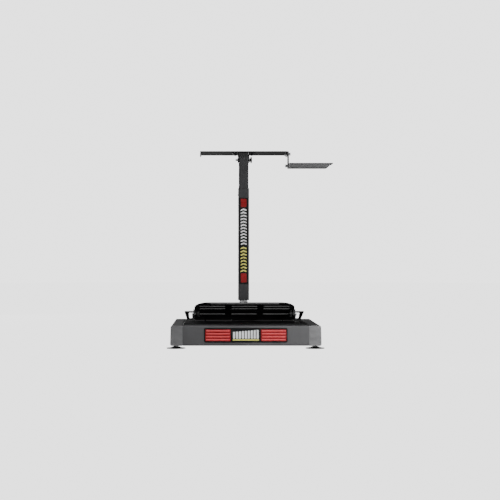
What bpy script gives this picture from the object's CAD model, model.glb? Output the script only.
"""Finishes and detail pieces for a steering wheel stand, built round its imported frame."""
import logging
import math
from dataclasses import dataclass, field
from enum import Enum
from typing import Callable, Sequence

import bmesh
import bpy
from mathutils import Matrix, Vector


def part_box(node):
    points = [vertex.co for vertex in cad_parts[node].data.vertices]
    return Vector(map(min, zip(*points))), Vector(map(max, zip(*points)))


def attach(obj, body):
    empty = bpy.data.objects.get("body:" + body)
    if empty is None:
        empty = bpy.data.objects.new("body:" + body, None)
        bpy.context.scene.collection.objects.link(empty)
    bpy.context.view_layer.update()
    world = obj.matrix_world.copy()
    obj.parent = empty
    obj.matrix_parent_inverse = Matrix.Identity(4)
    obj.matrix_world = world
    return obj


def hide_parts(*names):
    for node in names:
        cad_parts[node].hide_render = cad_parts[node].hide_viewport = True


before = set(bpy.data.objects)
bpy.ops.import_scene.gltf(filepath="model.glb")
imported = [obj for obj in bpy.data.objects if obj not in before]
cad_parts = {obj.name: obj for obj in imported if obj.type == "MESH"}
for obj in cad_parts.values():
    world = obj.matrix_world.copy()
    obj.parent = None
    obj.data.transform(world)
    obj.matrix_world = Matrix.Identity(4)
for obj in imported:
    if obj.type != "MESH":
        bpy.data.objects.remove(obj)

LOG = logging.getLogger("wheel_stand")
MM = 0.001
FACING = 0.9                     # how nearly a face or an edge must follow a direction to count
SQUARE = 0.99                    # the same for an end face
SMALL_ROUND = 0.25 * MM          # the broken edge of small steel parts

FaceTest = Callable[[Vector, Vector], bool]
EdgeTest = Callable[[Vector, Vector], bool]


class Axis(Enum):
    """The direction that a turned piece points."""

    X = (1.0, 0.0, 0.0)
    MINUS_X = (-1.0, 0.0, 0.0)
    Y = (0.0, 1.0, 0.0)
    Z = (0.0, 0.0, 1.0)
    MINUS_Z = (0.0, 0.0, -1.0)

    def vector(self) -> Vector:
        """This direction as a vector."""
        return Vector(self.value)


# ---------------------------------------------------------------------------
# Modelling
# ---------------------------------------------------------------------------


def deselect() -> None:
    """Leave edit mode and deselect every object."""
    if bpy.context.object and bpy.context.object.mode != "OBJECT":
        bpy.ops.object.mode_set(mode="OBJECT")
    bpy.ops.object.select_all(action="DESELECT")


class Piece:
    """A mesh being shaped, with the edit mode operators that it needs."""

    def __init__(self, obj: bpy.types.Object, name: str) -> None:
        """Take over an object that was just added.

        Args:
            obj: The object to shape.
            name: The piece's name.
        """
        self.obj = obj
        obj.name = name
        obj.data.name = name

    @classmethod
    def block(cls, name: str, low: Vector, high: Vector) -> "Piece":
        """A box between two corners, ready to be shaped.

        Args:
            name: The piece's name.
            low: Its lowest corner.
            high: Its highest corner.

        Returns:
            The new piece.
        """
        deselect()
        bpy.ops.mesh.primitive_cube_add(size=1.0, location=(low + high) / 2, scale=high - low)
        bpy.ops.object.transform_apply(location=True, rotation=True, scale=True)
        return cls(bpy.context.object, name)

    @classmethod
    def turned(cls, name: str, radius: float, length: float, start: Vector, axis: Axis,
               sides: int) -> "Piece":
        """A round or many-sided bar along an axis, ready to be shaped.

        Args:
            name: The piece's name.
            radius: Its radius, to the corners.
            length: Its length.
            start: The middle of its first end.
            axis: The way it points.
            sides: How many sides it has.

        Returns:
            The new piece.
        """
        deselect()
        way = axis.vector()
        bpy.ops.mesh.primitive_cylinder_add(
            vertices=sides, radius=radius, depth=length, location=start + way * length / 2,
            rotation=way.to_track_quat("Z", "Y").to_euler())
        bpy.ops.object.transform_apply(location=True, rotation=True, scale=True)
        return cls(bpy.context.object, name)

    @classmethod
    def from_node(cls, name: str, node: str) -> "Piece":
        """A merged copy of a CAD node, ready to have its edges broken.

        Args:
            name: The piece's name.
            node: The node to copy.

        Returns:
            The new piece.
        """
        deselect()
        obj = bpy.data.objects.new(name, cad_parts[node].data.copy())
        bpy.context.scene.collection.objects.link(obj)
        obj.data.materials.clear()
        bpy.context.view_layer.objects.active = obj
        obj.select_set(True)
        bpy.ops.mesh.customdata_custom_splitnormals_clear()
        piece = cls(obj, name)
        piece.edit()
        bpy.ops.mesh.select_all(action="SELECT")
        bpy.ops.mesh.remove_doubles(threshold=0.005 * MM)
        bpy.ops.mesh.dissolve_limited(angle_limit=math.radians(0.5))
        piece.leave()
        return piece

    def alone(self) -> None:
        """Make this piece active, and the only one selected."""
        deselect()
        bpy.context.view_layer.objects.active = self.obj
        self.obj.select_set(True)

    def edit(self) -> None:
        """Enter edit mode on this piece alone."""
        self.alone()
        bpy.ops.object.mode_set(mode="EDIT")

    def leave(self) -> None:
        """Go back to object mode."""
        bpy.ops.object.mode_set(mode="OBJECT")

    def pick_faces(self, test: FaceTest) -> "Piece":
        """Enter edit mode with just some faces selected.

        Args:
            test: Says yes to a face by its middle and normal.

        Returns:
            This piece.
        """
        self.edit()
        bpy.ops.mesh.select_mode(type="FACE")
        bpy.ops.mesh.select_all(action="DESELECT")
        mesh = bmesh.from_edit_mesh(self.obj.data)
        for face in mesh.faces:
            face.select_set(test(face.calc_center_median(), face.normal))
        bmesh.update_edit_mesh(self.obj.data)
        return self

    def pick_edges(self, test: EdgeTest) -> "Piece":
        """Enter edit mode with just some edges selected.

        Args:
            test: Says yes to an edge by its middle and direction.

        Returns:
            This piece.
        """
        self.edit()
        bpy.ops.mesh.select_mode(type="EDGE")
        bpy.ops.mesh.select_all(action="DESELECT")
        mesh = bmesh.from_edit_mesh(self.obj.data)
        for edge in mesh.edges:
            first, last = edge.verts[0].co, edge.verts[1].co
            edge.select_set(test((first + last) / 2, (last - first).normalized()))
        bmesh.update_edit_mesh(self.obj.data)
        return self

    def bevel(self, width: float, segments: int) -> "Piece":
        """Round the selected edges."""
        bpy.ops.mesh.bevel(offset=width, segments=segments, profile=0.5)
        return self

    def round_outline(self, width: float, segments: int) -> "Piece":
        """Round the outline of a plate that looks to the front: its edges along Y."""
        return self.pick_edges(lambda spot, way: abs(way.y) > FACING).bevel(width, segments)

    def pick_front(self) -> "Piece":
        """Enter edit mode with the faces that look to the front selected."""
        return self.pick_faces(lambda spot, normal: normal.y < -FACING)

    def inset(self, thickness: float) -> "Piece":
        """Inset the selected faces as one region."""
        bpy.ops.mesh.inset(thickness=thickness, depth=0.0)
        return self

    def extrude(self, move: Vector) -> "Piece":
        """Extrude the selected faces along a vector."""
        bpy.ops.mesh.extrude_region_move(TRANSFORM_OT_translate={"value": move})
        return self

    def sink(self, depth: float) -> "Piece":
        """Extrude the selected faces along their normals, inwards where the depth is negative."""
        bpy.ops.mesh.extrude_region_shrink_fatten(TRANSFORM_OT_shrink_fatten={"value": -depth})
        return self

    def move(self, way: Vector) -> "Piece":
        """Move what is selected."""
        bpy.ops.transform.translate(value=way)
        return self

    def scale(self, factors: Vector, centre: Vector) -> "Piece":
        """Scale what is selected about a point."""
        bpy.ops.transform.resize(value=factors, center_override=centre)
        return self

    def finish_edit(self) -> "Piece":
        """Leave edit mode if it is on."""
        if self.obj.mode != "OBJECT":
            self.leave()
        return self

    def cut(self, cutters: Sequence["Piece"]) -> "Piece":
        """Cut other pieces out of this one and delete them.

        Args:
            cutters: The pieces to cut away.

        Returns:
            This piece.
        """
        self.finish_edit()
        for cutter in cutters:
            cutter.finish_edit()
            tool = self.obj.modifiers.new("cut", "BOOLEAN")
            tool.operation = "DIFFERENCE"
            tool.solver = "EXACT"
            tool.object = cutter.obj
            self.apply(tool)
            bpy.data.objects.remove(cutter.obj)
        return self

    def apply(self, tool: bpy.types.Modifier) -> None:
        """Apply one modifier."""
        self.alone()
        bpy.ops.object.modifier_apply(modifier=tool.name)

    def soften(self, width: float, segments: int, angle: float = 35.0) -> "Piece":
        """Break every sharp edge with a small round.

        Args:
            width: The round's width.
            segments: How many steps the round has.
            angle: Edges sharper than this many degrees are rounded.

        Returns:
            This piece.
        """
        self.finish_edit()
        tool = self.obj.modifiers.new("edges", "BEVEL")
        tool.width = width
        tool.segments = segments
        tool.limit_method = "ANGLE"
        tool.angle_limit = math.radians(angle)
        tool.harden_normals = False
        self.apply(tool)
        return self

    def shade(self, angle: float = 40.0) -> "Piece":
        """Shade smoothly up to an angle, with flat faces kept flat."""
        self.finish_edit()
        self.alone()
        bpy.ops.object.shade_smooth_by_angle(angle=math.radians(angle))
        tool = self.obj.modifiers.new("normals", "WEIGHTED_NORMAL")
        tool.keep_sharp = True
        self.apply(tool)
        return self

    def join(self, others: Sequence["Piece"]) -> "Piece":
        """Join other pieces into this one.

        Args:
            others: The pieces to take in.

        Returns:
            This piece.
        """
        self.finish_edit()
        for other in others:
            other.finish_edit()
        deselect()
        for other in others:
            other.obj.select_set(True)
        self.obj.select_set(True)
        bpy.context.view_layer.objects.active = self.obj
        if others:
            bpy.ops.object.join()
        return self

    @staticmethod
    def joined(name: str, pieces: Sequence["Piece"]) -> "Piece":
        """Several pieces joined into one, under a name of its own."""
        whole = pieces[0].join(pieces[1:])
        whole.obj.name = name
        return whole

    def second_finish(self, finish: "Finish", test: FaceTest) -> None:
        """Give some faces of a fitted piece another finish.

        Args:
            finish: The other finish.
            test: Says yes to a face by its middle and normal.
        """
        self.obj.data.materials.append(finish.material())
        for face in self.obj.data.polygons:
            if test(face.center, face.normal):
                face.material_index = 1

    def fit(self, body: str, finish: "Finish", *nodes: str) -> None:
        """Put the piece on its body, in its finish, in place of the nodes that it stands for.

        Args:
            body: The body that it moves with.
            finish: Its finish.
            nodes: The CAD nodes that it replaces.
        """
        self.finish_edit()
        self.obj.data.materials.clear()
        self.obj.data.materials.append(finish.material())
        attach(self.obj, body)
        if nodes:
            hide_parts(*nodes)
        LOG.info("piece %s on %s", self.obj.name, body)


# ---------------------------------------------------------------------------
# Finishes
# ---------------------------------------------------------------------------

Colour = tuple[float, float, float]
Socket = bpy.types.NodeSocket

NOISE_RANGE = (0.3, 0.7)         # where most noise lies
MIX_FIRST, MIX_SECOND, MIX_RESULT = 6, 7, 2     # a mix node's colour sockets, which share names with others
DUST_TONE: Colour = (0.55, 0.54, 0.52)
RUBBED_TONE: Colour = (0.35, 0.35, 0.35)
HAZE_TONE: Colour = (0.4, 0.4, 0.39)
SPECK_TONE: Colour = (0.5, 0.5, 0.5)


class Graph:
    """A material's node tree, with short calls for the nodes that the finishes share."""

    def __init__(self, name: str) -> None:
        """Start a material with one principled shader on object coordinates."""
        self.material = bpy.data.materials.new(name)
        self.material.use_nodes = True
        self.tree = self.material.node_tree
        self.shader = self.tree.nodes["Principled BSDF"]
        self.coords = self.tree.nodes.new("ShaderNodeTexCoord")

    def link(self, source: Socket, target: Socket) -> None:
        """Join two sockets."""
        self.tree.links.new(source, target)

    def noise(self, scale: float, detail: float, stretch: Colour = (1.0, 1.0, 1.0),
              roughness: float = 0.5) -> Socket:
        """Noise on object coordinates.

        Args:
            scale: Cycles a metre.
            detail: Octaves.
            stretch: How the scale differs along X, Y and Z.
            roughness: How strong the fine octaves are.

        Returns:
            The noise's value, about 0.5.
        """
        mapping = self.tree.nodes.new("ShaderNodeMapping")
        mapping.inputs["Scale"].default_value = stretch
        self.link(self.coords.outputs["Object"], mapping.inputs["Vector"])
        node = self.tree.nodes.new("ShaderNodeTexNoise")
        node.inputs["Scale"].default_value = scale
        node.inputs["Detail"].default_value = detail
        node.inputs["Roughness"].default_value = roughness
        self.link(mapping.outputs["Vector"], node.inputs["Vector"])
        return node.outputs["Fac"]

    def cells(self, scale: float) -> Socket:
        """Distance to the nearest of many scattered points, on object coordinates."""
        node = self.tree.nodes.new("ShaderNodeTexVoronoi")
        node.inputs["Scale"].default_value = scale
        self.link(self.coords.outputs["Object"], node.inputs["Vector"])
        return node.outputs["Distance"]

    def mapped(self, value: Socket, source: tuple[float, float], target: tuple[float, float]) -> Socket:
        """Carry a value over from one range to another."""
        node = self.tree.nodes.new("ShaderNodeMapRange")
        for name, number in zip(("From Min", "From Max", "To Min", "To Max"), (*source, *target)):
            node.inputs[name].default_value = number
        self.link(value, node.inputs["Value"])
        return node.outputs["Result"]

    def ramp(self, value: Socket, low: float, high: float) -> Socket:
        """Stretch a value so that low becomes 0 and high becomes 1."""
        return self.mapped(value, (low, high), (0.0, 1.0))

    def spread(self, value: Socket, low: float, high: float) -> Socket:
        """Turn noise into a value between low and high."""
        return self.mapped(value, NOISE_RANGE, (low, high))

    def blend(self, value: Socket, base: Socket | Colour, top: Colour) -> Socket:
        """Lay a colour over another one, or over what is built so far, by a value."""
        node = self.tree.nodes.new("ShaderNodeMix")
        node.data_type = "RGBA"
        if isinstance(base, tuple):
            node.inputs[MIX_FIRST].default_value = (*base, 1.0)
        else:
            self.link(base, node.inputs[MIX_FIRST])
        node.inputs[MIX_SECOND].default_value = (*top, 1.0)
        self.link(value, node.inputs["Factor"])
        return node.outputs[MIX_RESULT]

    def times(self, first: Socket, second: Socket | float) -> Socket:
        """Multiply a value by another value or by a number."""
        node = self.tree.nodes.new("ShaderNodeMath")
        node.operation = "MULTIPLY"
        self.link(first, node.inputs[0])
        if isinstance(second, float):
            node.inputs[1].default_value = second
        else:
            self.link(second, node.inputs[1])
        return node.outputs[0]

    def upward(self) -> Socket:
        """1 on faces that look up in the piece's own frame, 0 on the rest."""
        split = self.tree.nodes.new("ShaderNodeSeparateXYZ")
        self.link(self.coords.outputs["Normal"], split.inputs["Vector"])
        return self.ramp(split.outputs["Z"], 0.6, 1.0)

    def bump(self, height: Socket, depth: float, strength: float,
             under: Socket | None = None) -> Socket:
        """Bump from a height, its depth in metres, on top of another bump if one is given."""
        node = self.tree.nodes.new("ShaderNodeBump")
        node.inputs["Distance"].default_value = depth
        node.inputs["Strength"].default_value = strength
        self.link(height, node.inputs["Height"])
        if under:
            self.link(under, node.inputs["Normal"])
        return node.outputs["Normal"]


@dataclass(frozen=True)
class Finish:
    """What every finish has: a name, a material slot of the record, and one material made once."""

    name: str
    slot: str = ""

    def material(self) -> bpy.types.Material:
        """The finish's material, made at its first use."""
        found = bpy.data.materials.get(self.name)
        return found if found else self.make()

    def make(self) -> bpy.types.Material:
        """Build the material."""
        raise NotImplementedError


@dataclass(frozen=True)
class PowderCoat(Finish):
    """Baked powder paint: fine orange peel, faint cloudiness, dust on top and a few rubbed scratches."""

    colour: Colour = (0.05, 0.05, 0.05)
    roughness: float = 0.45
    peel: float = 0.02 * MM
    peel_scale: float = 1400.0
    specular: float = 0.5
    dust: float = 0.05

    def make(self) -> bpy.types.Material:
        """Build the material."""
        graph = Graph(self.name)
        shader = graph.shader
        lighter: Colour = tuple(min(1.0, c * 1.16 + 0.002) for c in self.colour)
        darker: Colour = tuple(c * 0.88 for c in self.colour)
        cloud = graph.spread(graph.noise(7.0, 4.0), 0.0, 1.0)
        base = graph.blend(cloud, darker, lighter)
        dust_grain = graph.ramp(graph.noise(60.0, 6.0, roughness=0.7), 0.48, 0.75)
        dusty = graph.times(graph.times(graph.upward(), dust_grain), self.dust)
        base = graph.blend(dusty, base, DUST_TONE)
        scratch = graph.ramp(graph.noise(90.0, 2.0, (1.0, 14.0, 1.0)), 0.7, 0.74)
        rubbed = graph.times(scratch, 0.10)
        base = graph.blend(rubbed, base, RUBBED_TONE)
        graph.link(base, shader.inputs["Base Color"])
        rough = graph.spread(graph.noise(25.0, 5.0), self.roughness - 0.07, self.roughness + 0.08)
        graph.link(rough, shader.inputs["Roughness"])
        shader.inputs["Specular IOR Level"].default_value = self.specular
        wave = graph.bump(graph.noise(130.0, 2.0), self.peel * 2.0, 0.6)
        graph.link(graph.bump(graph.cells(self.peel_scale), self.peel, 0.6, wave), shader.inputs["Normal"])
        return graph.material


@dataclass(frozen=True)
class Moulded(Finish):
    """Moulded plastic or rubber: a fine even grain, slight flow marks and a dull rub on its high spots."""

    colour: Colour = (0.02, 0.02, 0.02)
    roughness: float = 0.55
    grain: float = 0.03 * MM
    grain_scale: float = 2200.0
    specular: float = 0.4
    bloom: float = 0.04

    def make(self) -> bpy.types.Material:
        """Build the material."""
        graph = Graph(self.name)
        shader = graph.shader
        flow = graph.spread(graph.noise(18.0, 4.0, (1.0, 1.0, 2.5)), 0.0, 1.0)
        lighter = tuple(c * 1.2 + 0.002 for c in self.colour)
        base = graph.blend(flow, tuple(c * 0.85 for c in self.colour), lighter)
        haze = graph.times(graph.ramp(graph.noise(45.0, 6.0, roughness=0.7), 0.5, 0.8), self.bloom)
        graph.link(graph.blend(haze, base, HAZE_TONE), shader.inputs["Base Color"])
        rough = graph.spread(graph.noise(70.0, 4.0), self.roughness - 0.06, self.roughness + 0.1)
        graph.link(rough, shader.inputs["Roughness"])
        shader.inputs["Specular IOR Level"].default_value = self.specular
        graph.link(graph.bump(graph.cells(self.grain_scale), self.grain, 0.7), shader.inputs["Normal"])
        return graph.material


@dataclass(frozen=True)
class PlatedSteel(Finish):
    """Plated or bare steel: fine turning lines, clouded plating and dull stains."""

    colour: Colour = (0.55, 0.56, 0.58)
    stain: Colour = (0.28, 0.27, 0.26)
    roughness: float = 0.32
    lines: Colour = (1.0, 1.0, 8.0)

    def make(self) -> bpy.types.Material:
        """Build the material."""
        graph = Graph(self.name)
        shader = graph.shader
        shader.inputs["Metallic"].default_value = 1.0
        cloud = graph.spread(graph.noise(40.0, 5.0), 0.0, 1.0)
        base = graph.blend(cloud, tuple(c * 0.85 for c in self.colour), self.colour)
        spots = graph.times(graph.ramp(graph.noise(160.0, 5.0, roughness=0.7), 0.55, 0.75), 0.5)
        graph.link(graph.blend(spots, base, self.stain), shader.inputs["Base Color"])
        line = graph.noise(500.0, 3.0, self.lines)
        rough = graph.spread(line, self.roughness - 0.06, self.roughness + 0.16)
        graph.link(rough, shader.inputs["Roughness"])
        graph.link(graph.bump(line, 0.01 * MM, 0.5), shader.inputs["Normal"])
        return graph.material


@dataclass(frozen=True)
class Printed(Finish):
    """Glossy printed or moulded trim: a clear face with fine wiping marks and a slight screen texture."""

    colour: Colour = (0.5, 0.02, 0.02)
    roughness: float = 0.28
    coat: float = 0.3
    specular: float = 0.5

    def make(self) -> bpy.types.Material:
        """Build the material."""
        graph = Graph(self.name)
        shader = graph.shader
        cloud = graph.spread(graph.noise(30.0, 4.0), 0.0, 1.0)
        lighter = tuple(min(1.0, c * 1.1 + 0.003) for c in self.colour)
        base = graph.blend(cloud, tuple(c * 0.9 for c in self.colour), lighter)
        specks = graph.times(graph.ramp(graph.noise(700.0, 2.0), 0.68, 0.74), 0.12)
        graph.link(graph.blend(specks, base, SPECK_TONE), shader.inputs["Base Color"])
        streaks = graph.noise(60.0, 3.0, (0.4, 1.0, 6.0))
        wiped = graph.spread(streaks, self.roughness - 0.05, self.roughness + 0.12)
        graph.link(wiped, shader.inputs["Roughness"])
        shader.inputs["Coat Weight"].default_value = self.coat
        shader.inputs["Coat Roughness"].default_value = 0.12
        shader.inputs["Specular IOR Level"].default_value = self.specular
        graph.link(graph.bump(graph.noise(900.0, 2.0), 0.006 * MM, 0.5), shader.inputs["Normal"])
        return graph.material


FRAME_GREY = PowderCoat("frame_grey_powder", "frame_paint", (0.085, 0.085, 0.088), 0.42, specular=0.4,
                        dust=0.04)
DECK_BLACK = PowderCoat("deck_black_powder", "deck_paint", (0.006, 0.006, 0.0065), 0.4, specular=0.2,
                        dust=0.02)
PLATE_BLACK = PowderCoat("plate_black_powder", "black_powder", (0.005, 0.005, 0.0055), 0.34, specular=0.5,
                         dust=0.015)
POST_GREY = PowderCoat("post_grey_powder", "post_paint", (0.035, 0.035, 0.037), 0.45, specular=0.35,
                       dust=0.02)
TRAY_GREY = PowderCoat("tray_grey_powder", "tray_paint", (0.09, 0.09, 0.093), 0.45, 0.006 * MM,
                       specular=0.4, dust=0.01)
SPIGOT_GREY = PowderCoat("spigot_grey_paint", "zinc_steel", (0.42, 0.42, 0.425), 0.4, specular=0.4,
                         dust=0.02)
CAP_GREY = Moulded("cap_grey_plastic", "cap_plastic", (0.15, 0.15, 0.153), 0.5)
NYLON = Moulded("black_nylon", "nylon_black", (0.012, 0.012, 0.012), 0.5)
RUBBER = Moulded("foot_rubber_black", "foot_rubber", (0.01, 0.01, 0.01), 0.75, 0.05 * MM, 1200.0, 0.3, 0.08)
ZINC = PlatedSteel("zinc_plated_steel", "zinc_steel")
DARK_STEEL = PlatedSteel("black_oxide_steel", "black_steel", (0.03, 0.03, 0.033),
                         (0.015, 0.015, 0.015), 0.5)
BADGE_BLACK = Printed("badge_gloss_black", "badge_black", (0.004, 0.004, 0.0045), 0.35, 0.1, 0.25)
BADGE_RED = Printed("badge_red_gloss", "badge_red", (0.24, 0.004, 0.006))
BADGE_RED_LIGHT = Printed("badge_red_light", "badge_red", (0.85, 0.09, 0.10))
BADGE_WHITE = Printed("badge_white_print", "badge_white", (0.86, 0.86, 0.87))
BADGE_YELLOW = Printed("badge_yellow_print", "badge_white", (0.72, 0.68, 0.16))


# ---------------------------------------------------------------------------
# Sub-assemblies
# ---------------------------------------------------------------------------


def span(node: str) -> tuple[Vector, Vector]:
    """A node's lowest and highest corner."""
    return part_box(node)


@dataclass
class EdgeBroken:
    """CAD nodes whose shape is right: each is copied, merged, and gets small rounds on its sharp edges."""

    rows: Sequence[tuple[str, Finish, str]]     # body, finish, and the nodes' names
    edge: float
    segments: int

    def build(self) -> None:
        """Build one piece for each node."""
        for body, finish, nodes in self.rows:
            for node in nodes.split():
                piece = Piece.from_node(node + "_finished", node)
                piece.soften(self.edge, self.segments).shade()
                piece.fit(body, finish, node)


@dataclass
class Fastener:
    """Hexagon heads and nuts with chamfered corners and a washer face, and sets of four alike."""

    chamfer: float = 0.9 * MM
    chamfer_inset: float = 0.9       # shares of the chamfer
    chamfer_drop: float = 0.55
    washer_face: float = 0.4 * MM
    face_share: float = 0.48         # the washer face's radius, as a share of the flats
    corner_share: float = 0.97       # points further out than this share of the radius are corners
    sides: int = 6

    def head(self, name: str, flats: float, height: float, start: Vector, axis: Axis) -> Piece:
        """A hexagon head.

        Args:
            name: The piece's name.
            flats: Size across flats.
            height: Its height.
            start: The middle of the face that it sits on.
            axis: The way the head stands out.

        Returns:
            The head.
        """
        way = axis.vector()
        face = Piece.turned(name + "_face", flats * self.face_share, self.washer_face, start, axis, 32)
        radius = flats / math.sqrt(3)
        body_start = start + way * self.washer_face
        body = Piece.turned(name, radius, height - self.washer_face, body_start, axis, self.sides)
        top = start + way * height
        body.pick_faces(lambda centre, normal: normal.dot(way) > SQUARE and (centre - top).length < MM)
        body.inset(self.chamfer * self.chamfer_inset).finish_edit()
        for vertex in body.obj.data.vertices:
            offset = vertex.co - start
            along = offset.dot(way)
            out = offset - way * along
            if along > height - 0.01 * MM and out.length > radius * self.corner_share:
                vertex.co -= way * self.chamfer * self.chamfer_drop
        return body.join([face])

    def nut(self, name: str, flats: float, height: float, start: Vector, axis: Axis, bore: float) -> Piece:
        """A hexagon nut: a head with a round bore right through it.

        Args:
            name: The piece's name.
            flats: Size across flats.
            height: Its height.
            start: The middle of the face that it sits on.
            axis: The way the nut stands out.
            bore: The bore's radius.

        Returns:
            The nut.
        """
        nut = self.head(name, flats, height, start, axis)
        drill = Piece.turned("drill", bore, height + 2 * MM, start - axis.vector() * MM, axis, 24)
        return nut.cut([drill])

    def four(self, node: str, flats: float, make: Callable[[int, float, float], Piece]) -> Piece:
        """Four alike fasteners joined into one piece, one at each corner of their node's box.

        Args:
            node: The CAD node that they stand for.
            flats: Their size across flats.
            make: Models one of them from its number, its X and its Y.

        Returns:
            The four, with their edges broken.
        """
        low, high = span(node)
        radius = flats / math.sqrt(3)
        made = []
        for x in (low.x + radius, high.x - radius):
            for y in (low.y + flats / 2, high.y - flats / 2):
                made.append(make(len(made), x, y))
        return Piece.joined(node + "_chamfered", made).soften(SMALL_ROUND, 2).shade()


@dataclass
class Knob:
    """A hand knob: a fluted rim with a dome or a recessed cap, and a hub."""

    radius: float
    length: float
    flutes: int = 12
    sides: int = 72
    domed: bool = False
    hub_share: float = 0.3           # shares of the length
    dome_share: float = 0.4
    hub_width: float = 0.6           # shares of the radius
    flute_margin: float = 0.03
    flute_depth: float = 0.07
    dome_steps: int = 6
    cap_steps: tuple[tuple[float, float], ...] = ((0.18, 0.04), (0.1, -0.08), (0.12, 0.03))

    def build(self, name: str, start: Vector, axis: Axis) -> Piece:
        """Model the knob.

        Args:
            name: The piece's name.
            start: The middle of its hub's face.
            axis: The way it stands out.

        Returns:
            The knob.
        """
        way = axis.vector()
        hub_length = self.length * self.hub_share
        hub_radius = self.radius * self.hub_width
        hub = Piece.turned(name + "_hub", hub_radius, hub_length + 0.2 * MM, start, axis, 40)
        hub.soften(0.4 * MM, 2)
        rim_start = start + way * hub_length
        rim_length = self.length - hub_length
        rim = Piece.turned(name, self.radius, rim_length, rim_start, axis, self.sides)
        side_turn = 2 * math.pi / self.sides
        per = self.sides // self.flutes
        first = way.orthogonal().normalized()
        second = way.cross(first)

        def in_flute(centre: Vector, normal: Vector) -> bool:
            """Whether a side face lies in a flute."""
            if abs(normal.dot(way)) > 0.5:
                return False
            angle = math.atan2(normal.dot(second), normal.dot(first)) % (2 * math.pi)
            return int(angle / side_turn + 1e-6) % per < per // 2

        rim.pick_faces(in_flute)
        rim.inset(self.radius * self.flute_margin).sink(-self.radius * self.flute_depth)
        top = rim_start + way * rim_length
        rim.pick_faces(lambda centre, normal: normal.dot(way) > SQUARE and (centre - top).length < 0.2 * MM)
        if self.domed:
            self.dome(rim, way, top)
        else:
            for inset, rise in self.cap_steps:
                rim.inset(self.radius * inset).extrude(way * self.length * rise)
        rim.soften(min(0.6 * MM, self.radius * 0.04), 2, 40.0)
        return rim.join([hub])

    def dome(self, rim: Piece, way: Vector, top: Vector) -> None:
        """Draw the outer half of the rim in to a low dome.

        Args:
            rim: The rim, its outer face selected.
            way: The way it points.
            top: The middle of its outer face.
        """
        rim.move(way * -self.length * self.dome_share)
        start = top - way * self.length * self.dome_share
        quarter = math.pi / 2
        for step in range(1, self.dome_steps + 1):
            turn = quarter * step / (self.dome_steps + 1)
            before = quarter * (step - 1) / (self.dome_steps + 1)
            rise = self.length * self.dome_share * (math.sin(turn) - math.sin(before))
            shrink = math.cos(turn) / math.cos(before)
            rim.extrude(way * rise)
            centre = start + way * self.length * self.dome_share * math.sin(turn)
            rim.scale(Vector((1.0, 1.0, 1.0)) * shrink, centre)

    @classmethod
    def stand_in(cls, node: str, body: str, axis: Axis, flutes: int, sides: int, domed: bool = False) -> None:
        """Put a fluted knob in place of a CAD knob.

        Args:
            node: The CAD knob.
            body: The body that it moves with.
            axis: The way it stands out, along X or Y.
            flutes: How many flutes it has.
            sides: How many sides its rim has.
            domed: Whether its outer face is a dome.
        """
        low, high = span(node)
        way = axis.vector()
        along = 0 if way.x else 1
        across = along + 1
        start = (low + high) / 2
        start[along] = low[along] if way[along] > 0 else high[along]
        knob = cls((high[across] - low[across]) / 2, high[along] - low[along], flutes, sides, domed)
        knob.build(node + "_fluted", start, axis).shade().fit(body, NYLON, node)


@dataclass
class LevellingFoot:
    """A levelling foot: a rubber pad with a stepped cone and gripping rings, and its threaded stud."""

    rim_height: float = 2.6 * MM
    step_height: float = 0.5 * MM
    cone_height: float = 2.4 * MM
    neck_start: float = 5.5 * MM     # the height of the cone's top
    step_inset: float = 0.16         # insets, as shares of the pad's radius
    cone_inset: float = 0.04
    neck_inset: float = 0.06
    sole_inset: float = 0.1
    ring_inset: float = 0.07
    cone_taper: float = 0.6
    neck_taper: float = 0.9
    ring_count: int = 3
    ring_depth: float = 0.5 * MM
    near: float = 0.5 * MM           # how close to the axis a middle face lies

    def build(self, foot: str) -> None:
        """Build and dress one foot.

        Args:
            foot: Which one.
        """
        low, high = span("foot_pad_" + foot)
        centre = Vector(((low.x + high.x) / 2, (low.y + high.y) / 2, low.z))
        radius = (high.x - low.x) / 2
        pad = Piece.turned("foot_pad_" + foot + "_moulded", radius, self.rim_height, centre, Axis.Z, 64)

        def middle(way: int) -> FaceTest:
            """The flat face at the pad's middle that looks up (1) or down (-1)."""
            return lambda spot, normal: normal.z * way > FACING and (spot - centre).xy.length < self.near

        pad.pick_faces(middle(1)).inset(radius * self.step_inset).extrude(Vector((0, 0, self.step_height)))
        pad.pick_faces(middle(1)).inset(radius * self.cone_inset).extrude(Vector((0, 0, self.cone_height)))
        pad.scale(Vector((self.cone_taper, self.cone_taper, 1.0)), centre + Vector((0, 0, self.neck_start)))
        pad.inset(radius * self.neck_inset).extrude(Vector((0, 0, high.z - low.z - self.neck_start)))
        pad.scale(Vector((self.neck_taper, self.neck_taper, 1.0)), centre)
        pad.pick_faces(middle(-1)).inset(radius * self.sole_inset)
        for _ in range(self.ring_count):
            pad.inset(radius * self.ring_inset).extrude(Vector((0, 0, self.ring_depth)))
            pad.inset(radius * self.ring_inset).extrude(Vector((0, 0, -self.ring_depth)))
        pad.soften(0.4 * MM, 2, 30.0).shade(50.0)
        pad.fit("foot_" + foot, RUBBER, "foot_pad_" + foot)
        low, high = span("foot_stud_" + foot)
        stud = Thread((high.x - low.x) / 2, high.z - low.z).build(
            "foot_stud_" + foot + "_threaded", Vector((centre.x, centre.y, low.z)), Axis.Z)
        stud.shade(50.0).fit("foot_" + foot, ZINC, "foot_stud_" + foot)


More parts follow.
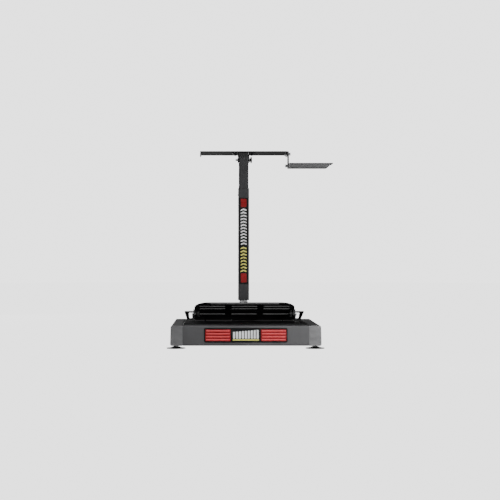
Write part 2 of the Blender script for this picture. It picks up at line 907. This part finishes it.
@dataclass
class Base:
    """The box base's dressed pieces: badge with stripes and a plain emblem, levelling feet and lock nuts."""

    badge_corner: float = 6 * MM
    badge_rim: float = 1.6 * MM
    badge_sink: float = 0.5 * MM
    badge_raised: float = 0.9 * MM   # how far panels and emblem stand out of the sunk face
    panel_width: float = 96 * MM
    panel_corner: float = 2 * MM
    panel_buried: float = 0.3 * MM
    stripe_count: int = 4
    stripe_gap: float = 6.7 * MM
    stripe_margin: float = 3 * MM
    stripe_raised: float = 0.8 * MM
    stripe_buried: float = 0.1 * MM
    stripe_corner: float = 1.5 * MM
    stripe_bevel: float = 0.8 * MM
    stripe_crown: float = 0.25 * MM
    emblem_buried: float = 0.2 * MM
    bar_count: int = 9
    bar_foot: float = 7.5 * MM
    bar_corner: float = 1.4 * MM
    bar_shortest: float = 0.78       # shares of the tallest bar
    bar_growth: float = 0.22
    bar_margin: float = 0.14         # shares of the pitch
    bar_width: float = 0.72
    line_height: float = 5 * MM
    line_corner: float = 1.6 * MM
    lock_flats: float = 17 * MM
    lock_bore: float = 5.03 * MM
    feet: tuple[str, ...] = ("front_left", "front_right", "rear_left", "rear_right")

    def build(self) -> None:
        """Build and dress the base's own pieces."""
        self.badge()
        for foot in self.feet:
            LevellingFoot().build(foot)
        self.lock_nuts()

    def badge(self) -> None:
        """The badge plate with a raised rim, its red panels with raised stripes, and the emblem."""
        low, high = span("badge_plate")
        plate = Piece.block("badge_plate_moulded", low, high)
        plate.round_outline(self.badge_corner, 8)
        plate.pick_front().inset(self.badge_rim).extrude(Vector((0, self.badge_sink, 0)))
        plate.soften(SMALL_ROUND, 2, 50.0).shade()
        plate.fit("base", BADGE_BLACK, "badge_plate")
        face_y = low.y + self.badge_sink
        panel_low, panel_high = span("badge_panels")
        for side, x in (("left", panel_low.x), ("right", panel_high.x - self.panel_width)):
            self.panel(side, Vector((x, face_y, panel_low.z)),
                       Vector((x + self.panel_width, face_y, panel_high.z)))
        self.emblem(face_y)

    def panel(self, side: str, low: Vector, high: Vector) -> None:
        """One red panel with raised lighter stripes, on the badge's sunk face.

        Args:
            side: Which one.
            low: Its lowest corner on the sunk face.
            high: Its highest corner there.
        """
        front = low.y - self.badge_raised
        ground = Piece.block("badge_panel_" + side, Vector((low.x, front, low.z)),
                             high + Vector((0, self.panel_buried, 0)))
        ground.round_outline(self.panel_corner, 5)
        ground.soften(0.2 * MM, 2, 50.0).shade()
        nodes = ("badge_panels",) if side == "left" else ()
        ground.fit("base", BADGE_RED, *nodes)
        pitch = (high.z - low.z) / self.stripe_count
        stripes = []
        for index in range(self.stripe_count):
            bottom = low.z + pitch * index + self.stripe_gap / 2
            stripe = Piece.block(
                f"badge_stripe_{side}_{index}",
                Vector((low.x + self.stripe_margin, front - self.stripe_raised, bottom)),
                Vector((high.x - self.stripe_margin, front + self.stripe_buried,
                        bottom + pitch - self.stripe_gap)))
            stripe.round_outline(self.stripe_corner, 4)
            stripe.pick_front().inset(self.stripe_bevel).move(Vector((0, -self.stripe_crown, 0)))
            stripes.append(stripe)
        Piece.joined("badge_stripes_" + side, stripes).shade(60.0).fit("base", BADGE_RED_LIGHT)

    def emblem(self, face_y: float) -> None:
        """A plain emblem: white upright bars, each a little taller than the last, over a yellow line."""
        low, high = span("badge_emblem")
        front, back = face_y - self.badge_raised, face_y + self.emblem_buried
        pitch = (high.x - low.x) / self.bar_count
        foot = low.z + self.bar_foot
        bars = []
        for index in range(self.bar_count):
            share = self.bar_shortest + self.bar_growth * index / (self.bar_count - 1)
            left = low.x + pitch * index + pitch * self.bar_margin
            top = foot + (high.z - foot) * share
            bar = Piece.block(f"emblem_bar_{index}", Vector((left, front, foot)),
                              Vector((left + pitch * self.bar_width, back, top)))
            bars.append(bar.round_outline(self.bar_corner, 4))
        white = Piece.joined("badge_emblem_bars", bars)
        white.soften(0.15 * MM, 1, 50.0).shade().fit("base", BADGE_WHITE, "badge_emblem")
        line = Piece.block("badge_emblem_line", Vector((low.x, front, low.z)),
                           Vector((high.x, back, low.z + self.line_height)))
        line.round_outline(self.line_corner, 4)
        line.soften(0.15 * MM, 1, 50.0).shade().fit("base", BADGE_YELLOW)

    def lock_nuts(self) -> None:
        """The chamfered lock nuts under the rails."""
        low, high = span("foot_lock_nuts")
        nuts = Fastener().four("foot_lock_nuts", self.lock_flats, lambda index, x, y: Fastener().nut(
            f"lock_nut_{index}", self.lock_flats, high.z - low.z, Vector((x, y, low.z)), Axis.Z,
            self.lock_bore))
        nuts.fit("base", ZINC, "foot_lock_nuts")


@dataclass
class Thread:
    """A threaded rod, its thread a row of close rings, with a chamfered end."""

    radius: float
    length: float
    pitch: float = 1.5 * MM
    depth: float = 0.5 * MM

    def build(self, name: str, start: Vector, axis: Axis) -> Piece:
        """Model the rod.

        Args:
            name: The piece's name.
            start: The middle of its first end.
            axis: The way it points.

        Returns:
            The rod.
        """
        way = axis.vector()
        turns = int(self.length / self.pitch)
        step = self.length / turns
        rod = Piece.turned(name, self.radius - self.depth, step / 2, start, axis, 24)
        place = start + way * step / 2
        grow = self.radius / (self.radius - self.depth)
        wide = Vector((1.0, 1.0, 1.0)) * grow
        narrow = Vector((1.0, 1.0, 1.0)) / grow
        for index in range(1, 2 * turns):
            end = place
            rod.pick_faces(lambda spot, normal: normal.dot(way) > FACING and (spot - end).length < 0.05 * MM)
            rod.extrude(way * step / 2)
            place = place + way * step / 2
            rod.scale(wide if index % 2 else narrow, place)
        return rod


@dataclass
class Post:
    """The post: decal strip with blocks and chevrons, the height clamp, and the bolts at its foot."""

    decal_corner: float = 2.5 * MM
    print_depth: float = 0.15 * MM
    print_buried: float = 0.1 * MM
    block_width: float = 24 * MM
    block_corner: float = 4 * MM
    block_spans: tuple[tuple[str, float, float], ...] = (("top", 0.893, 0.990), ("foot", 0.018, 0.126))
    white_span: tuple[float, float] = (0.452, 0.882)     # shares of the strip's height, as for the blocks
    yellow_span: tuple[float, float] = (0.138, 0.440)
    chevron_pitch: float = 12.2 * MM
    chevron_height: float = 6.0 * MM
    chevron_lift: float = 4.5 * MM
    flange_thickness: float = 5 * MM
    bolt_flats: float = 13 * MM
    bolt_head: float = 5 * MM
    bolt_radius: float = 4 * MM

    def build(self) -> None:
        """Build and dress the post's own pieces."""
        self.decal()
        Knob.stand_in("height_clamp_knob", "height_clamp", Axis.Y, 12, 72)
        self.foot()
        self.foot_bolts()

    def decal(self) -> None:
        """The black strip and its printed blocks and chevrons."""
        low, high = span("post_decal")
        strip = Piece.block("post_decal_strip", low, high)
        strip.round_outline(self.decal_corner, 5)
        strip.soften(0.1 * MM, 1, 50.0).shade().fit("base", BADGE_BLACK, "post_decal")
        centre = (low.x + high.x) / 2
        height = high.z - low.z
        half = self.block_width / 2
        for word, first, last in self.block_spans:
            bottom = Vector((centre - half, low.y - self.print_depth, low.z + height * first))
            top = Vector((centre + half, low.y + self.print_buried, low.z + height * last))
            block = Piece.block("post_decal_block_" + word, bottom, top)
            block.round_outline(self.block_corner, 6).shade().fit("base", BADGE_RED)
        for word, (first, last), finish in (("white", self.white_span, BADGE_WHITE),
                                            ("yellow", self.yellow_span, BADGE_YELLOW)):
            self.chevrons(word, centre, low.y, low.z + height * first, low.z + height * last, finish)

    def chevrons(self, word: str, centre: float, face: float, low: float, high: float,
                 finish: Finish) -> None:
        """A column of printed chevrons.

        Args:
            word: The colour's name, for the piece's name.
            centre: The column's X.
            face: The strip's face.
            low: The column's foot.
            high: The column's top.
            finish: Their finish.
        """
        half = self.block_width / 2
        count = int((high - low) / self.chevron_pitch)
        pitch = (high - low) / count
        arms = []
        for index in range(count):
            bottom = low + pitch * index
            for side in (-1, 1):
                left, right = sorted((centre, centre + side * half))
                arm = Piece.block(f"chevron_{word}_{index}_{side}",
                                  Vector((left, face - self.print_depth, bottom)),
                                  Vector((right, face + self.print_buried, bottom + self.chevron_height)))
                arm.pick_faces(lambda spot, normal: normal.x * side < -FACING)
                arms.append(arm.move(Vector((0, 0, self.chevron_lift))))
        Piece.joined("post_decal_chevrons_" + word, arms).shade().fit("base", finish)

    def foot(self) -> None:
        """The pale spigot under the post, on its black flange."""
        flange_top = span("post_foot")[0].z + self.flange_thickness
        piece = Piece.from_node("post_foot_finished", "post_foot")
        piece.soften(0.6 * MM, 3).shade()
        piece.fit("base", SPIGOT_GREY, "post_foot")
        piece.second_finish(PLATE_BLACK, lambda spot, normal: spot.z < flange_top + 0.01 * MM)

    def foot_bolts(self) -> None:
        """The four bolts on the post's foot flange."""
        low, high = span("post_foot_bolts")

        def bolt(index: int, x: float, y: float) -> Piece:
            """One bolt: its head, and the shank under it."""
            seat = Vector((x, y, high.z - self.bolt_head))
            head = Fastener().head(f"foot_bolt_{index}", self.bolt_flats, self.bolt_head, seat, Axis.Z)
            foot = Vector((x, y, low.z))
            return head.join([Piece.turned("shank", self.bolt_radius, seat.z - low.z, foot, Axis.Z, 24)])

        bolts = Fastener().four("post_foot_bolts", self.bolt_flats, bolt)
        bolts.fit("base", ZINC, "post_foot_bolts")


@dataclass
class TiltHead:
    """The top of the post: tilt nut, tilt knob, and the nuts under the wheel plate's brackets."""

    tilt_bore: float = 4.05 * MM
    nut_flats: float = 10 * MM
    nut_bore: float = 3.05 * MM

    def build(self) -> None:
        """Build and dress the tilt head's own pieces."""
        low, high = span("tilt_nut")
        start = Vector((high.x, (low.y + high.y) / 2, (low.z + high.z) / 2))
        nut = Fastener().nut("tilt_nut_chamfered", high.y - low.y, high.x - low.x, start, Axis.MINUS_X,
                             self.tilt_bore)
        nut.soften(SMALL_ROUND, 2).shade().fit("upper_post", DARK_STEEL, "tilt_nut")
        Knob.stand_in("tilt_knob", "tilt_knob", Axis.X, 9, 54, domed=True)
        self.plate_nuts()

    def plate_nuts(self) -> None:
        """The nuts under the wheel plate's brackets."""
        low, high = span("wheel_plate_nuts")
        nuts = Fastener().four("wheel_plate_nuts", self.nut_flats, lambda index, x, y: Fastener().nut(
            f"plate_nut_{index}", self.nut_flats, high.z - low.z, Vector((x, y, high.z)), Axis.MINUS_Z,
            self.nut_bore))
        nuts.fit("wheel_mount", DARK_STEEL, "wheel_plate_nuts")


def pedal_clamps() -> None:
    """The two knobs under the pedal plate that hold its angle."""
    for side, axis in (("right", Axis.MINUS_X), ("left", Axis.X)):
        Knob.stand_in("pedal_clamp_knob_" + side, "pedal_knob_" + side, axis, 9, 54)


# ---------------------------------------------------------------------------
# Studio
# ---------------------------------------------------------------------------


@dataclass
class Studio:
    """A pale floor, soft lights, and the camera."""

    camera_side: float = -0.105      # from the base's middle
    camera_back: float = 4.592       # in front of the base's front face
    camera_height: float = 0.334
    lens: float = 87.7
    shift: tuple[float, float] = (0.064, 0.0212)
    floor_radius: float = 14.0
    floor_depth: float = 0.02
    floor_tones: tuple[Colour, Colour] = ((0.42, 0.42, 0.42), (0.46, 0.46, 0.46))
    floor_glow: float = 0.96         # how much of the floor's look to the camera is its own glow
    backdrop: float = 2.6            # how bright floor and background look to the camera
    surround: float = 0.05           # how much light they throw on the stand
    lights: dict[str, tuple[Vector, Vector, float, float]] = field(default_factory=lambda: {
        "front": (Vector((0.3, -4.0, 3.9)), Vector((0.0, 0.0, 0.3)), 2.6, 95.0),
        "key": (Vector((1.0, -1.2, 0.3)), Vector((0.2, -0.2, 0.15)), 0.5, 20.0),
        "fill": (Vector((-3.0, -2.0, 1.2)), Vector((0.0, 0.0, 0.4)), 1.4, 8.0),
        "back_left": (Vector((-1.5, 2.6, 0.7)), Vector((-0.3, 0.0, 0.1)), 0.8, 60.0),
    })

    def build(self) -> None:
        """Build the studio."""
        self.floor()
        self.world()
        for name, (place, target, size, power) in self.lights.items():
            self.light(name, place, target, size, power)
        self.camera()

    def floor(self) -> None:
        """A large pale disc that the stand rests on."""
        floor = Piece.turned("studio_floor", self.floor_radius, self.floor_depth,
                             Vector((0, 0, -self.floor_depth)), Axis.Z, 96)
        graph = Graph("studio_floor_paint")
        tree = graph.tree
        shader = graph.shader
        tone = graph.blend(graph.spread(graph.noise(1.5, 3.0), 0.0, 1.0), *self.floor_tones)
        graph.link(tone, shader.inputs["Base Color"])
        shader.inputs["Roughness"].default_value = 0.9
        shader.inputs["Specular IOR Level"].default_value = 0.1
        glow = tree.nodes.new("ShaderNodeEmission")
        glow.inputs["Strength"].default_value = self.backdrop
        seen = tree.nodes.new("ShaderNodeMixShader")
        seen.inputs["Fac"].default_value = self.floor_glow
        graph.link(shader.outputs[0], seen.inputs[1])
        graph.link(glow.outputs[0], seen.inputs[2])
        self.by_ray(tree, shader.outputs[0], seen.outputs[0], tree.nodes["Material Output"])
        floor.obj.data.materials.append(graph.material)

    def world(self) -> None:
        """White all round, dimmer as light than as backdrop."""
        world = bpy.data.worlds.new("studio_world")
        bpy.context.scene.world = world
        world.use_nodes = True
        tree = world.node_tree
        light = tree.nodes["Background"]
        light.inputs["Color"].default_value = (1.0, 1.0, 1.0, 1.0)
        light.inputs["Strength"].default_value = self.surround
        seen = tree.nodes.new("ShaderNodeBackground")
        seen.inputs["Color"].default_value = (1.0, 1.0, 1.0, 1.0)
        seen.inputs["Strength"].default_value = self.backdrop
        self.by_ray(tree, light.outputs[0], seen.outputs[0], tree.nodes["World Output"])

    @staticmethod
    def by_ray(tree: bpy.types.NodeTree, light: Socket, seen: Socket,
               output: bpy.types.Node) -> None:
        """Let the backdrop look brighter than the light that it throws.

        Args:
            tree: The node tree.
            light: What lights the stand.
            seen: What shows behind it.
            output: The tree's output node.
        """
        path = tree.nodes.new("ShaderNodeLightPath")
        mix = tree.nodes.new("ShaderNodeMixShader")
        tree.links.new(path.outputs["Is Camera Ray"], mix.inputs["Fac"])
        tree.links.new(light, mix.inputs[1])
        tree.links.new(seen, mix.inputs[2])
        tree.links.new(mix.outputs[0], output.inputs["Surface"])

    def light(self, name: str, place: Vector, target: Vector, size: float, power: float) -> None:
        """One soft square light.

        Args:
            name: The light's name.
            place: Where it stands.
            target: What it points at.
            size: The side of its square.
            power: Its power in watts.
        """
        data = bpy.data.lights.new(name, "AREA")
        data.size = size
        data.energy = power
        lamp = bpy.data.objects.new(name, data)
        lamp.location = place
        lamp.rotation_euler = (target - place).to_track_quat("-Z", "Y").to_euler()
        lamp.visible_camera = False
        bpy.context.scene.collection.objects.link(lamp)

    def camera(self) -> None:
        """A long lens near the floor, square on to the front beam."""
        low, high = span("front_beam")
        data = bpy.data.cameras.new("camera")
        data.lens = self.lens
        data.shift_x, data.shift_y = self.shift
        camera = bpy.data.objects.new("camera", data)
        middle = (low.x + high.x) / 2
        camera.location = (middle + self.camera_side, low.y - self.camera_back, self.camera_height)
        camera.rotation_euler = (math.pi / 2, 0.0, 0.0)
        bpy.context.scene.collection.objects.link(camera)
        bpy.context.scene.camera = camera


SHEET_METAL = (
    ("base", FRAME_GREY, "left_rail right_rail front_beam centre_beam rear_beam"),
    ("base", DECK_BLACK, "deck_plate"),
    ("base", CAP_GREY, "front_end_caps rear_end_caps"),
    ("base", POST_GREY, "outer_post"),
    ("base", NYLON, "outer_post_bush"),
    ("base", POST_GREY, "height_clamp_boss"),
    ("upper_post", POST_GREY, "inner_post"),
    ("wheel_mount", PLATE_BLACK, "tilt_bracket_left tilt_bracket_right wheel_plate"),
    ("shifter_arm", TRAY_GREY, "shifter_arm"),
    ("shifter_tray", TRAY_GREY, "shifter_tray"),
    ("pedal_plate", PLATE_BLACK, "pedal_plate"),
    ("base", PLATE_BLACK, "pedal_quadrant_left pedal_quadrant_right pedal_hinge_lugs"),
)

SMALL_STEEL = (
    ("wheel_mount", DARK_STEEL, "wheel_plate_bolts"),
    ("base", ZINC, "foot_weld_nuts post_collar"),
    ("upper_post", NYLON, "inner_post_plug inner_post_glide"),
    ("height_clamp", ZINC, "height_clamp_screw"),
    ("upper_post", ZINC, "tilt_washers tilt_bolt"),
    ("wheel_mount", ZINC, "shifter_arm_bolt shifter_arm_nut"),
    ("shifter_tray", ZINC, "shifter_tray_bolt shifter_tray_nut"),
    ("pedal_plate", ZINC, "pedal_hinge_pins pedal_clamp_bolts"),
)


def main() -> None:
    logging.basicConfig(level=logging.INFO, format="%(name)s: %(message)s")
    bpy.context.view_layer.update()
    EdgeBroken(SHEET_METAL, 0.6 * MM, 3).build()
    EdgeBroken(SMALL_STEEL, SMALL_ROUND, 2).build()
    Base().build()
    Post().build()
    TiltHead().build()
    pedal_clamps()
    Studio().build()
    deselect()


if __name__ == "__main__":
    main()
